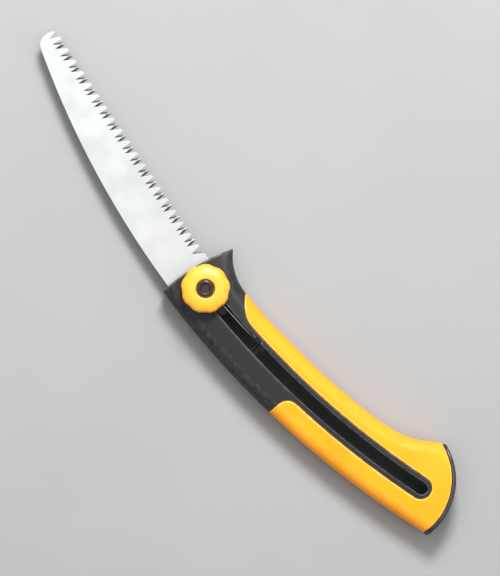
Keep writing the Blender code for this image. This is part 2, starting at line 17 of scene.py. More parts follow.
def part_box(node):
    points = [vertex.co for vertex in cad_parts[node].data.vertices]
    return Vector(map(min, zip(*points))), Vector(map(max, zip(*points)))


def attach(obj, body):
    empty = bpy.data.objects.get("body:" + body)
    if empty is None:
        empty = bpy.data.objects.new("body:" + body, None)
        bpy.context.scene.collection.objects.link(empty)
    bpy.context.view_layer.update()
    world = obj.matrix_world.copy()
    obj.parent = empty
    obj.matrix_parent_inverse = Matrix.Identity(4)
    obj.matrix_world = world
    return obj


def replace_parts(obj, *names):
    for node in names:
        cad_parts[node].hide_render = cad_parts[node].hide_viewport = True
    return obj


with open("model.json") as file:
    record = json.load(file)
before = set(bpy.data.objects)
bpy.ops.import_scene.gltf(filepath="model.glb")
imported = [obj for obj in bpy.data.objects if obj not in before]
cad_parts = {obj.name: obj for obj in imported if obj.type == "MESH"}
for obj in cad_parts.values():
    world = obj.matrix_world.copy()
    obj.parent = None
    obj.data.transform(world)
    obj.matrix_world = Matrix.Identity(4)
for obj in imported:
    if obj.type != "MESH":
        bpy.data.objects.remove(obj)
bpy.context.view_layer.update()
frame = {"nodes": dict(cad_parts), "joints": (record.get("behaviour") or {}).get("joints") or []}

MM = 0.001


def cad_box(node):
    """Lowest and highest corner of a CAD node, in mm."""
    return [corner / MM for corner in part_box(node)]


# ---------------------------------------------------------------- sizes from the frame

SLIDE = next(joint for joint in frame["joints"] if joint["name"] == "blade_slide")
ARC_R = -SLIDE["pos_m"][1] / MM            # slot centre line, and the arc that the blade travels on
MID_Z = SLIDE["pos_m"][2] / MM             # the handle's parting plane and the blade's middle
TRAVEL = ARC_R * math.radians(SLIDE["range_deg"][1])
TOP_Z = 2 * MID_Z
BLADE_LOW_Z, BLADE_TOP_Z = (corner.z for corner in cad_box("blade"))
KNOB_LOW_Z, KNOB_TOP_Z = (corner.z for corner in cad_box("knob"))
KNOB_R = cad_box("knob")[1].x
SCREW_END_Z, SCREW_TOP_Z = (corner.z for corner in cad_box("clamp_screw"))
SCREW_HEAD_R = cad_box("clamp_screw")[1].x

# ---------------------------------------------------------------- sizes of the detail

HALF_GAP = 0.15                            # each half stops this far from the parting plane
GAP = 0.3
EDGE_ROUND = 8.0
CROWN_R = 120.0                            # the skin's gentle curve across its middle
HANDLE_BACK_R = 549.3
MOUTH = ((-110.4, 11.2), 125.0)
BUTT = ((-150.2, -14.2), 38.8)
TEETH_EDGE = [
    (24, 488.5), (14, 497.3), (8.7, 501.9), (3.3, 506.0), (-1.8, 508.6), (-7.7, 510.7), (-14.5, 511.8),
    (-26, 512.1), (-60, 511.8), (-120, 511.2), (-138, 510.2), (-149, 507.9), (-158, 504.2), (-165, 500.7),
    (-172, 500.0), (-200, 500.0),
]

GRIP_THICK = 1.6
BAND_HALF = 6.6                            # grip's inner edge, from the slot's centre line
BAND_END_U = -176.9
GRIP_FRONT = [(-17.3, 512.0), (-19.9, 514.7), (-22.8, 517.3), (-26.4, 519.8), (-30.6, 521.4), (-36.0, 521.8)]
BACK_GRIP_FRONT = [
    (-86.0, 535.0), (-83.2, 535.15), (-80.6, 536.1), (-78.5, 537.9), (-77.3, 540.6), (-76.8, 544.0),
]
BACK_GRIP_FRONT_U = -76.4

SLOT_HALF = 3.6
SLOT_FRONT_U = 5.8                         # centre of the slot's round front end
SLOT_REAR_U = SLOT_FRONT_U - TRAVEL - 11.7
SHOE_CHANNEL = (-178.4, 12.6, ARC_R - 7.6, ARC_R + 7.6)
TAIL_CHANNEL = (-184.3, 12.6, ARC_R - 3.6, ARC_R + 3.6)
BLADE_CHANNEL = (-178.9, 40.0, 515.4, 545.8)
BLADE_CHANNEL_Z = MID_Z + 1.6
CHANNEL_Z = MID_Z + 8.0                    # ceiling of the top half, and mirrored the floor
SPRING_NOTCH_U = (-44.8, -40.5)
SPRING_NOTCH_DEPTH = 1.6
RIB_U = (-44.5, -44.7, -46.3, -47.3, -47.5, -47.7)
RIB_HEIGHT = (0.0, 0.45, 0.5, 0.95, 0.95, 0.0)

SEAM_HALF = 1.5                            # half the strip down the lower half's middle that joins its sides
SKIN_STEPS = 26                            # points across the skin from the slot to the rim
UNDER_STEPS = 8
HOUSING_SCREWS = {"nose": (7.0, 512.2), "heel": (-160.0, 510.0), "butt": (-184.0, 536.0)}


# ---------------------------------------------------------------- places

def place(u, r, z):
    angle = u / ARC_R
    return r * math.sin(angle), r * math.cos(angle) - ARC_R, z


def spread(first, last, count):
    """`count` evenly spaced values from first to last."""
    return [first + (last - first) * k / (count - 1) for k in range(count)]


def mix(a, b, share):
    return tuple(x + (y - x) * share for x, y in zip(a, b))


def smooth_value(points, at):
    """Height at `at` of the smooth curve through points listed with falling first values."""
    k = next((i for i in range(len(points) - 1) if at >= points[i + 1][0]), len(points) - 2)
    (x0, y0), (x1, y1) = points[k], points[k + 1]

    def slope(i):
        before, after = points[max(i - 1, 0)], points[min(i + 1, len(points) - 1)]
        return (after[1] - before[1]) / (after[0] - before[0])

    t, run = (at - x0) / (x1 - x0), x1 - x0
    return (
        y0 * (1 + 2 * t) * (1 - t) ** 2 + slope(k) * run * t * (1 - t) ** 2
        + y1 * t * t * (3 - 2 * t) + slope(k + 1) * run * t * t * (t - 1)
    )


def smooth_path(points, count):
    """A Catmull-Rom curve through 2D points, resampled evenly."""
    ends = [points[0], *points, points[-1]]
    fine = []
    for p0, p1, p2, p3 in zip(ends, ends[1:], ends[2:], ends[3:]):
        for t in spread(0, 1, 13)[:-1]:
            fine.append(tuple(
                0.5 * (2 * b + (c - a) * t + (2 * a - 5 * b + 4 * c - d) * t * t
                       + (3 * b - a - 3 * c + d) * t ** 3)
                for a, b, c, d in zip(p0, p1, p2, p3)
            ))
    return resample(fine + [points[-1]], count)


def resample(points, count):
    """Evenly spaced points along a line of 2D points."""
    along = [0.0]
    for a, b in zip(points, points[1:]):
        along.append(along[-1] + math.dist(a, b))
    made, k = [], 0
    for at in spread(0, along[-1], count):
        while k < len(points) - 2 and along[k + 1] < at:
            k += 1
        run = along[k + 1] - along[k] or 1.0
        made.append(mix(points[k], points[k + 1], min(1.0, (at - along[k]) / run)))
    return made


def left_normals(points, closed=False):
    """Normals to the left of a line of 2D points, longer at corners as in a mitre. Points may coincide."""
    sides = []
    for before, after in zip(points, points[1:] + points[:1]):
        du, da = after[0] - before[0], after[1] - before[1]
        length = math.hypot(du, da)
        sides.append((-da / length, du / length) if length > 1e-6 else None)
    if not closed:
        sides[-1] = sides[-2]
    made = []
    for k in range(len(points)):
        ahead = next(side for side in sides[k:] + sides if side)
        behind = next(side for side in sides[:k][::-1] + sides[::-1] if side) if closed or k else ahead
        total = behind[0] + ahead[0], behind[1] + ahead[1]
        reach = total[0] * ahead[0] + total[1] * ahead[1]
        made.append((total[0] / reach, total[1] / reach))
    return made


def shifted(point, normal, distance):
    return point[0] + normal[0] * distance, point[1] + normal[1] * distance


# ---------------------------------------------------------------- the handle's skin

def section(u, side):
    """The skin's cross-section on one side of the slot.

    Gives the width, the flat part and its lean, the heights where the flat part ends and the
    wall starts, and the lengths along the skin to the wall and to the rim.
    """
    width = HANDLE_BACK_R - ARC_R if side > 0 else ARC_R - smooth_value(TEETH_EDGE, u)
    flat = (width - EDGE_ROUND) / (1 - EDGE_ROUND / CROWN_R)
    lean = math.asin(flat / CROWN_R)
    flat_z = TOP_Z - flat ** 2 / (2 * CROWN_R)
    wall_z = flat_z - EDGE_ROUND * math.cos(lean)
    wall_at = flat + EDGE_ROUND * (math.pi / 2 - lean)
    return width, flat, lean, flat_z, wall_z, wall_at, wall_at + wall_z - MID_Z - HALF_GAP


def rim_at(u, side):
    return side * section(u, side)[-1]


def skin(u, a, depth=0.0):
    """A place on the top half's skin, or `depth` under it."""
    side = 1 if a >= 0 else -1
    width, flat, lean, flat_z, wall_z, wall_at, _ = section(u, side)
    across = abs(a)
    if across <= flat:
        out, z, turn = across, TOP_Z - across ** 2 / (2 * CROWN_R), across / CROWN_R
    elif across <= wall_at:
        turn = lean + (across - flat) / EDGE_ROUND
        out = width - EDGE_ROUND * (1 - math.sin(turn))
        z = flat_z - EDGE_ROUND * (math.cos(lean) - math.cos(turn))
    else:
        out, z, turn = width, wall_z - (across - wall_at), math.pi / 2
    return place(u, ARC_R + side * (out - depth * math.sin(turn)), z - depth * math.cos(turn))


def across_at(u, r):
    """The skin coordinate `a` above a place in plan."""
    side = 1 if r >= ARC_R else -1
    width, flat, lean, _, _, _, _ = section(u, side)
    out = abs(r - ARC_R)
    if out <= flat:
        return side * out
    turn = math.asin(min(1.0, 1 - (width - out) / EDGE_ROUND))
    return side * (flat + EDGE_ROUND * (turn - lean))


def where_cut(circle, inside_u, outside_u, plan_of):
    """The u at which plan_of(u) crosses a circle, found by halving."""
    centre, radius = circle
    for _ in range(40):
        u = (inside_u + outside_u) / 2
        x, y, _ = plan_of(u)
        if math.hypot(x - centre[0], y - centre[1]) < radius:
            inside_u = u
        else:
            outside_u = u
    return u


def end_curve(circle, inside_u, outside_u, share):
    """Skin coordinates of a place where an end's arc cuts the skin: share -1 teeth rim, 1 back rim."""
    side = 1 if share >= 0 else -1
    u = where_cut(circle, inside_u, outside_u, lambda u: skin(u, share * abs(rim_at(u, side))))
    return u, share * abs(rim_at(u, side))


def end_plan(circle, inside_u, outside_u, r):
    return where_cut(circle, inside_u, outside_u, lambda u: place(u, r, 0)), r


MOUTH_SPAN, BUTT_SPAN = (0.0, 24.0), (-155.0, -198.0)
NOSE_U = where_cut(MOUTH, *MOUTH_SPAN, lambda u: place(u, smooth_value(TEETH_EDGE, u), 0))
NOSE_R = smooth_value(TEETH_EDGE, NOSE_U)
HEEL_U = where_cut(BUTT, *BUTT_SPAN, lambda u: place(u, smooth_value(TEETH_EDGE, u), 0))
BACK_BUTT_U = where_cut(BUTT, *BUTT_SPAN, lambda u: place(u, HANDLE_BACK_R, 0))


def mouth_curve(share):
    return end_curve(MOUTH, *MOUTH_SPAN, share)


def butt_curve(share):
    return end_curve(BUTT, *BUTT_SPAN, share)


# ---------------------------------------------------------------- mesh helpers

def mesh_object(name, points, faces, body, material, sharp_deg=35.0):
    """A closed mesh from points in mm, welded, cleaned and shaded."""
    mesh = bpy.data.meshes.new(name)
    mesh.from_pydata([[c * MM for c in p] for p in points], [], faces)
    bm = bmesh.new()
    bm.from_mesh(mesh)
    bmesh.ops.remove_doubles(bm, verts=bm.verts, dist=0.004 * MM)
    bmesh.ops.dissolve_degenerate(bm, edges=bm.edges, dist=0.002 * MM)
    bmesh.ops.recalc_face_normals(bm, faces=bm.faces)
    bm.to_mesh(mesh)
    bm.free()
    obj = bpy.data.objects.new(name, mesh)
    bpy.context.scene.collection.objects.link(obj)
    dress(obj, material, sharp_deg)
    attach(obj, body)
    return obj


def dress(obj, material, sharp_deg=35.0):
    obj.data.materials.clear()
    obj.data.materials.append(material)
    obj.data.shade_smooth()
    obj.data.set_sharp_from_angle(angle=math.radians(sharp_deg))
    mark_edges(obj.data)


def mark_edges(mesh):
    """Stores how sharply the surface turns at each vertex, which the materials use for edge wear and for
    painted edge highlights.
    """
    bm = bmesh.new()
    bm.from_mesh(mesh)
    turns = [
        max((e.calc_face_angle(0.0) for e in v.link_edges), default=0.0) for v in bm.verts
    ]
    bm.free()
    layer = mesh.attributes.get("edge") or mesh.attributes.new("edge", "FLOAT", "POINT")
    layer.data.foreach_set("value", [min(1.0, turn / math.radians(40)) for turn in turns])


def ring_faces(rows, columns, rows_closed):
    """Quads between neighbouring rings of `columns` points."""
    last = rows if rows_closed else rows - 1
    return [
        (i * columns + j, i * columns + (j + 1) % columns,
         (i + 1) % rows * columns + (j + 1) % columns, (i + 1) % rows * columns + j)
        for i in range(last) for j in range(columns)
    ]


def loft(name, rings, body, material, closed=False, sharp_deg=35.0):
    """A skin over rings of equal length, closed round or capped at its ends."""
    columns = len(rings[0])
    faces = ring_faces(len(rings), columns, closed)
    if not closed:
        faces.append(tuple(range(columns)))
        faces.append(tuple(range(len(rings) * columns - columns, len(rings) * columns)))
    return mesh_object(name, [p for ring in rings for p in ring], faces, body, material, sharp_deg)


def turned(name, profile, centre, body, material, steps=64, radius_at=None, sharp_deg=35.0):
    """Turns (radius, z) points about a vertical axis.

    radius_at(k, radius, angle) may shape point k's circle.
    """
    rings = []
    for k, (radius, z) in enumerate(profile):
        ring = []
        for s in range(steps):
            angle = 2 * math.pi * s / steps
            reach = radius_at(k, radius, angle) if radius_at else radius
            ring.append((centre[0] + reach * math.cos(angle), centre[1] + reach * math.sin(angle), z))
        rings.append(ring)
    return loft(name, rings, body, material, sharp_deg=sharp_deg)


def cut(obj, cutter, self_touching=False):
    """Takes the cutter's shape out of the object's mesh and removes the cutter.

    self_touching is for a mesh whose own faces meet, which the cut would otherwise lose.
    """
    step = obj.modifiers.new("cut", "BOOLEAN")
    step.solver = "EXACT"
    step.use_self = self_touching
    step.object = cutter
    bpy.context.view_layer.update()
    mesh = bpy.data.meshes.new_from_object(obj.evaluated_get(bpy.context.evaluated_depsgraph_get()))
    obj.modifiers.clear()
    mesh.name = obj.name
    obj.data = mesh
    bpy.data.objects.remove(cutter)


# ---------------------------------------------------------------- materials

class Finish:
    """A Principled material with helpers for its texture nodes, all in object space."""

    def __init__(self, name, roughness, metallic=0.0, specular=0.5):
        self.material = bpy.data.materials.new(name)
        self.material.use_nodes = True
        self.nodes = self.material.node_tree.nodes
        self.links = self.material.node_tree.links
        self.shader = self.nodes["Principled BSDF"]
        self.shader.inputs["Roughness"].default_value = roughness
        self.shader.inputs["Metallic"].default_value = metallic
        self.shader.inputs["Specular IOR Level"].default_value = specular
        self.place = self.nodes.new("ShaderNodeTexCoord").outputs["Object"]

    def noise(self, size_mm, detail=3.0, stretch=(1, 1, 1)):
        """Noise whose grains are about size_mm across, drawn out along an axis by a small stretch factor."""
        mapping = self.nodes.new("ShaderNodeMapping")
        mapping.inputs["Scale"].default_value = [s / (size_mm * MM) for s in stretch]
        self.links.new(self.place, mapping.inputs["Vector"])
        noise = self.nodes.new("ShaderNodeTexNoise")
        noise.inputs["Scale"].default_value = 1.0
        noise.inputs["Detail"].default_value = detail
        self.links.new(mapping.outputs["Vector"], noise.inputs["Vector"])
        return noise.outputs["Fac"]

    def along_x(self, from_mm, to_mm):
        """0 at one place along X and 1 at another."""
        split = self.nodes.new("ShaderNodeSeparateXYZ")
        self.links.new(self.place, split.inputs["Vector"])
        return self.spread(split.outputs["X"], 0.0, 1.0, from_mm * MM, to_mm * MM)

    def level(self):
        """1 where the surface lies flat, 0 where it stands upright."""
        split = self.nodes.new("ShaderNodeSeparateXYZ")
        self.links.new(self.nodes["Texture Coordinate"].outputs["Normal"], split.inputs["Vector"])
        return self.math("ABSOLUTE", split.outputs["Z"], 0.0)

    def edges(self):
        layer = self.nodes.new("ShaderNodeAttribute")
        layer.attribute_name = "edge"
        return layer.outputs["Fac"]

    def math(self, how, a, b):
        node = self.nodes.new("ShaderNodeMath")
        node.operation = how
        for socket, value in zip(node.inputs, (a, b)):
            if isinstance(value, (int, float)):
                socket.default_value = value
            else:
                self.links.new(value, socket)
        return node.outputs["Value"]

    def spread(self, value, low, high, from_low=0.3, from_high=0.7):
        node = self.nodes.new("ShaderNodeMapRange")
        self.links.new(value, node.inputs["Value"])
        limits = {"From Min": from_low, "From Max": from_high, "To Min": low, "To Max": high}
        for name, number in limits.items():
            node.inputs[name].default_value = number
        return node.outputs["Result"]

    def colours(self, value, stops):
        ramp = self.nodes.new("ShaderNodeValToRGB")
        marks = ramp.color_ramp.elements
        while len(marks) < len(stops):
            marks.new(0.5)
        for mark, (at, colour) in zip(marks, stops):
            mark.position = at
            mark.color = (*colour, 1.0)
        self.links.new(value, ramp.inputs["Fac"])
        return ramp.outputs["Color"]

    def blend(self, share, first, second):
        node = self.nodes.new("ShaderNodeMix")
        node.data_type = "RGBA"
        self.links.new(share, node.inputs["Factor"])
        self.links.new(first, node.inputs["A"])
        if isinstance(second, tuple):
            node.inputs["B"].default_value = (*second, 1.0)
        else:
            self.links.new(second, node.inputs["B"])
        return node.outputs["Result"]

    def set(self, socket, value):
        self.links.new(value, self.shader.inputs[socket])

    def bump(self, *heights):
        """Stacks bumps of (height socket, depth in mm)."""
        normal = None
        for height, depth_mm in heights:
            node = self.nodes.new("ShaderNodeBump")
            node.inputs["Strength"].default_value = 1.0
            node.inputs["Distance"].default_value = depth_mm * MM
            self.links.new(height, node.inputs["Height"])
            if normal:
                self.links.new(normal, node.inputs["Normal"])
            normal = node.outputs["Normal"]
        self.set("Normal", normal)


def scaled(colour, factor):
    return tuple(min(1.0, c * factor) for c in colour)


def moulded(name, colour, roughness, grain_mm, grain_depth, wear_and_sheen=None, specular=0.5, coat=0.0):
    """Moulded plastic: fine grain, faint flow marks, edges lighter from rubbing and a painted highlight."""
    made = Finish(name, roughness, specular=specular)
    flow = made.noise(26.0, 2.0)
    base = made.colours(flow, [(0.35, scaled(colour, 0.94)), (0.65, scaled(colour, 1.05))])
    if wear_and_sheen:
        # Sharp edges are painted lighter: part rubbing wear, part painted highlight.
        wear_and_sheen_mask = made.math("MULTIPLY", made.edges(), made.spread(made.noise(3.0, 4.0), 0.1, 0.8))
        base = made.blend(wear_and_sheen_mask, base, wear_and_sheen)
    made.set("Base Color", base)
    patches = made.spread(made.noise(9.0, 3.0), roughness - 0.03, roughness + 0.03)
    made.set("Roughness", patches)
    made.bump((flow, 0.02), (made.noise(grain_mm, 2.0), grain_depth))
    made.shader.inputs["Coat Weight"].default_value = coat
    made.shader.inputs["Coat Roughness"].default_value = 0.25
    return made.material


def ground_steel(name, colour, roughness, scratch_mm=0.25, depth=0.004, painted_light_span=None, tilted_faces_shade=None):
    """Ground or rolled steel with long fine lines.

    A stretch along x, given as (from x, to x, colour), is painted in that colour as painted light and shade.
    Faces that don't lie flat can be painted a darker colour, a painted shade for their tilt to the light.
    """
    made = Finish(name, roughness, metallic=1.0)
    lines = made.noise(scratch_mm, 3.0, (0.02, 1, 1))
    clouds = made.noise(14.0, 3.0)
    base = made.colours(clouds, [(0.35, scaled(colour, 0.95)), (0.65, scaled(colour, 1.03))])
    base = made.blend(made.spread(lines, 0.0, 0.3), base, scaled(colour, 0.86))
    if painted_light_span:
        # Painted light and shade: a stretch along x is painted in another colour.
        base = made.blend(made.along_x(*painted_light_span[:2]), base, painted_light_span[2])
    if tilted_faces_shade:
        # Painted shade: faces that don't lie flat are painted darker.
        base = made.blend(made.spread(made.level(), 1.0, 0.0, 0.93, 0.985), base, tilted_faces_shade)
    made.set("Base Color", base)
    wear_and_sheen = made.math("ADD", lines, clouds)
    made.set("Roughness", made.spread(wear_and_sheen, roughness - 0.06, roughness + 0.08, 0.7, 1.3))
    made.bump((lines, depth))
    return made.material


def plated(name, colour, roughness):
    made = Finish(name, roughness, metallic=1.0)
    cloud = made.noise(1.6, 4.0)
    made.set("Base Color", made.colours(cloud, [(0.3, scaled(colour, 0.85)), (0.7, scaled(colour, 1.08))]))
    made.set("Roughness", made.spread(cloud, roughness - 0.07, roughness + 0.1))
    made.bump((made.noise(0.35, 2.0), 0.006))
    return made.material


BLACK = (0.0115, 0.0108, 0.0105)
MATERIALS = {
    # The edge colours paint sharp edges lighter, partly as rubbing wear and partly as a painted highlight,
    # such as the light line along the mouth.
    "black_nylon": moulded("black_nylon", BLACK, 0.5, 0.42, 0.016, wear_and_sheen=(0.2, 0.195, 0.19), specular=0.26),
    "black_cap": moulded(
        "black_cap", (0.018, 0.0165, 0.015), 0.34, 0.5, 0.006, wear_and_sheen=(0.06, 0.056, 0.052), specular=0.4),
    "amber_grip": moulded(
        "amber_grip", (0.93, 0.315, 0.010), 0.46, 0.5, 0.012, wear_and_sheen=(1.0, 0.62, 0.20), specular=0.12),
    "amber_nylon": moulded(
        "amber_nylon", (0.95, 0.39, 0.020), 0.36, 0.6, 0.005,
        wear_and_sheen=(0.97, 0.46, 0.05), specular=0.4, coat=0.2),
    "grey_acetal": moulded("grey_acetal", (0.014, 0.011, 0.010), 0.45, 0.5, 0.006, specular=0.25),
    # Painted reflection: the blade is painted a less cyan, slightly darker grey towards the mouth. Painted
    # shade: its bevels and edges are darker.
    "blade_steel": ground_steel(
        "blade_steel", (0.425, 0.437, 0.437), 0.36, painted_light_span=(70.0, 5.0, (0.425, 0.425, 0.415)),
        tilted_faces_shade=(0.31, 0.31, 0.3)),
    # Painted shade: the spring's rear, towards its foot in the slot, is painted nearly black.
    "spring_steel": ground_steel(
        "spring_steel", (0.21, 0.19, 0.185), 0.32, 0.15, painted_light_span=(-29.0, -40.5, (0.02, 0.018, 0.018))),
    "zinc_steel": plated("zinc_steel", (0.50, 0.51, 0.53), 0.34),
    "black_steel": plated("black_steel", (0.050, 0.036, 0.034), 0.22),
    "brass": plated("brass", (0.34, 0.22, 0.08), 0.38),
}


# ---------------------------------------------------------------- handle: edges shared by shells and grips

def corner_path(u_rim, side, plan_points, count, reverse=False):
    """From the rim straight up the wall at u_rim, then along a smooth curve through plan points."""
    rim = rim_at(u_rim, side)
    wall = side * section(u_rim, side)[5]
    curve = smooth_path(plan_points, 60)
    line = [(u_rim, rim), (u_rim, wall)] + [(u, across_at(u, r)) for u, r in curve[1:]]
    made = resample(line, count)
    return made[::-1] if reverse else made


def grip_edges():
    """The grip's inner edge and its outer edge, point for point, from the teeth side round the rear."""
    rear_u = BAND_END_U + BAND_HALF
    inner = corner_path(GRIP_FRONT[0][0], -1, GRIP_FRONT, 34)
    outer = [(u, rim_at(u, -1)) for u in spread(GRIP_FRONT[0][0] - 0.7, -40.0, 34)]
    inner += [(u, -BAND_HALF) for u in spread(-36.0, -158.0, 46)[1:]]
    outer += [(u, rim_at(u, -1)) for u in spread(-40.0, -160.0, 46)[1:]]
    inner += [(u, -BAND_HALF) for u in spread(-158.0, rear_u, 12)[1:]]
    outer += [(u, rim_at(u, -1)) for u in spread(-160.0, HEEL_U, 12)[1:]]
    for share in spread(-1, 1, 64)[1:-1]:
        turn = math.pi * share / 2
        inner.append((rear_u - BAND_HALF * math.cos(turn), BAND_HALF * math.sin(turn)))
        outer.append(butt_curve(share))
    inner += [(u, BAND_HALF) for u in spread(rear_u, -86.0, 36)]
    outer += [(u, rim_at(u, 1)) for u in spread(BACK_BUTT_U, -90.0, 36)]
    front_plan = [(BACK_GRIP_FRONT_U, HANDLE_BACK_R), *BACK_GRIP_FRONT[::-1]]
    front = corner_path(BACK_GRIP_FRONT_U, 1, front_plan, 30, True)
    inner += front[1:]
    outer += [(u, rim_at(u, 1)) for u in spread(-90.0, BACK_GRIP_FRONT_U - 0.7, 30)[1:]]
    return inner, outer


def slot_round(count):
    """For each grip edge point, the slot's centre u and the direction to the slot's edge there."""
    made = [(u, (0, -1)) for u in spread(-16.4, -36.0, 34)]
    made += [(u, (0, -1)) for u in spread(-36.0, -160.0, 46)[1:]]
    made += [(u, (0, -1)) for u in spread(-160.0, SLOT_REAR_U, 12)[1:]]
    for share in spread(-1, 1, 64)[1:-1]:
        turn = math.pi * share / 2
        made.append((SLOT_REAR_U, (-math.cos(turn), math.sin(turn))))
    made += [(u, (0, 1)) for u in spread(SLOT_REAR_U, -88.0, 36)]
    made += [(-75.6 - 12.4 * (1 - t) ** 2.4, (0, 1)) for t in spread(0, 1, 30)[1:]]
    assert len(made) == count
    return made


def ray_out(centre_u, target, box):
    """How far along the line from the slot's centre to a target a box's side is met, as a share."""
    u_low, u_high, r_low, r_high = box
    du, dr = target[0] - centre_u, target[1] - ARC_R
    shares = []
    if abs(du) > 1e-9:
        shares.append(((u_high if du > 0 else u_low) - centre_u) / du)
    if abs(dr) > 1e-9:
        shares.append(((r_high if dr > 0 else r_low) - ARC_R) / dr)
    return min(shares)


def along_ray(centre_u, target, share):
    return centre_u + (target[0] - centre_u) * share, ARC_R + (target[1] - ARC_R) * share


def rib_height(u):
    """Height of the cross rib that stands on the lower half's floor."""
    if not RIB_U[-1] <= u <= RIB_U[0]:
        return 0.0
    k = next(i for i in range(len(RIB_U) - 1) if u >= RIB_U[i + 1])
    share = (RIB_U[k] - u) / (RIB_U[k] - RIB_U[k + 1])
    return RIB_HEIGHT[k] + (RIB_HEIGHT[k + 1] - RIB_HEIGHT[k]) * share


def shell_stations():
    """Every station round the slot: (slot centre u, direction, rim point on the skin, outer point, kind)."""
    inner, outer = grip_edges()
    normals = left_normals(inner)
    stations = []
    for (centre_u, direction), edge, normal, rim in zip(slot_round(len(inner)), inner, normals, outer):
        stations.append((centre_u, direction, shifted(edge, normal, -GAP), rim, "grip"))
    for u, rim_u in zip(spread(-75.2, SLOT_FRONT_U, 34), spread(-76.1, mouth_curve(1)[0], 34)):
        rim = (rim_u, rim_at(rim_u, 1))
        stations.append((u, (0, 1), rim, rim, "side"))
    rows = [HANDLE_BACK_R, 548.5, 547.4, 546.4, 545.83, 545.77, *spread(544.6, 517.0, 24), 515.43, 515.37]
    rows += spread(513.6, NOSE_R, 10)
    for k, r in enumerate(rows):
        share = (r - ARC_R) / ((HANDLE_BACK_R if r > ARC_R else 2 * ARC_R - NOSE_R) - ARC_R)
        turn = math.pi * (0.5 - k / (len(rows) - 1))
        direction = (math.cos(turn), math.sin(turn))
        low_u, low_r = end_plan(MOUTH, *MOUTH_SPAN, min(r, HANDLE_BACK_R))
        stations.append((SLOT_FRONT_U, direction, mouth_curve(share), (low_u, low_r), "mouth"))
    for u, rim_u in zip(spread(SLOT_FRONT_U, -15.9, 16), spread(NOSE_U, -17.0, 16)):
        rim = (rim_u, rim_at(rim_u, -1))
        stations.append((u, (0, -1), rim, rim, "side"))
    return with_extra_stations(stations)


def with_extra_stations(stations):
    """Adds stations where the floor's rib and the detent spring's notch need their corners."""
    wanted = [*RIB_U, *(u + d for u in SPRING_NOTCH_U for d in (-0.05, 0.05))]
    made = []
    for before, after in zip(stations, stations[1:] + stations[:1]):
        made.append(before)
        if before[1] != after[1] or before[4] != after[4] or before[1][0]:
            continue
        low, high = sorted((before[0], after[0]))
        inside = sorted((u for u in wanted if low < u < high), reverse=before[0] > after[0])
        for u in inside:
            share = (u - before[0]) / (after[0] - before[0])
            edge, outer = mix(before[2], after[2], share), mix(before[3], after[3], share)
            made.append((u, before[1], edge, outer, before[4]))
    return made


def half_section(station, normal, top):
    """A station's closed cross-section in mm, as places on the top half."""
    centre_u, direction, edge, outer, kind = station
    near_mouth = 1.0 if kind == "mouth" else 0.0
    if kind == "side":
        near_mouth = max(0.0, 1 - (mouth_curve(direction[1])[0] - edge[0]) / 5)
    rounding = 0.35 + 0.3 * near_mouth
    inset = rounding * (1 + 0.5 * near_mouth)
    notch = top and direction[1] < 0 and SPRING_NOTCH_U[0] < centre_u < SPRING_NOTCH_U[1]
    half = SLOT_HALF + (SPRING_NOTCH_DEPTH if notch else 0.0)

    def by_slot(reach):
        return centre_u + direction[0] * reach, direction[1] * reach

    start = by_slot(half + 0.4 if top else SEAM_HALF)
    rim = [shifted(edge, normal, -inset), shifted(edge, normal, -0.3 * inset)]
    points = [skin(*mix(start, rim[0], k / SKIN_STEPS)) for k in range(SKIN_STEPS + 1)]
    points += [skin(*rim[1], 0.35 * rounding), skin(*edge, rounding)]

    depth = GRIP_THICK + GAP
    if kind == "grip":
        points += [skin(*mix(edge, outer, k / (UNDER_STEPS - 1)), depth) for k in range(UNDER_STEPS)]
        side = 1 if outer[1] >= 0 else -1
        width, share = section(outer[0], side)[0], outer[1] / rim_at(outer[0], side)
        if share > 0.999:
            low = (outer[0], ARC_R + side * (width - depth))
        else:
            low = end_plan(BUTT, *BUTT_SPAN, ARC_R + side * share * width)
            low = along_ray(centre_u, low, 1 - depth / max(math.dist(low, (centre_u, ARC_R)), depth))
    elif kind == "side":
        low = (outer[0], ARC_R + direction[1] * (section(outer[0], direction[1])[0] - rounding))
    else:
        low = outer

    low_z = MID_Z + HALF_GAP
    blade_share = ray_out(centre_u, low, BLADE_CHANNEL)
    in_slit = blade_share >= 1.0
    if in_slit:
        low_z, blade_share = BLADE_CHANNEL_Z, 0.98
    channel_share = ray_out(centre_u, low, SHOE_CHANNEL)
    if top:
        channel_share = max(channel_share, ray_out(centre_u, low, TAIL_CHANNEL))
    channel_share = min(channel_share, 0.97 if in_slit else 0.985)
    blade_edge = along_ray(centre_u, low, blade_share)
    channel = along_ray(centre_u, low, channel_share)
    parting = [
        (*low, low_z), (*blade_edge, low_z),
        (*blade_edge, BLADE_CHANNEL_Z), (*channel, BLADE_CHANNEL_Z),
    ]
    if kind != "grip":
        face_top, stop = points[-1], place(*mix(low, blade_edge, 0.0 if kind == "mouth" else 0.5), low_z)
        points += [mix(face_top, stop, k / UNDER_STEPS) for k in range(1, UNDER_STEPS + 1)]
        parting = parting[1:] if kind == "side" else parting
        if kind == "side":
            points.append(place(*mix(low, blade_edge, 0.75), low_z))
    points += [place(*p) for p in parting]
    floor = CHANNEL_Z - (0.0 if top else rib_height(centre_u))
    points.append(place(*channel, floor))
    if top:
        wall = [place(centre_u + direction[0] * reach, ARC_R + direction[1] * reach, z) for reach, z in (
            (half + 0.3, floor), (half, floor + 0.3), (half, TOP_Z - 0.4), (half + 0.12, TOP_Z - 0.12),
        )]
        points += wall
    else:
        points.append(place(centre_u + direction[0] * SEAM_HALF, ARC_R + direction[1] * SEAM_HALF, floor))
    return points


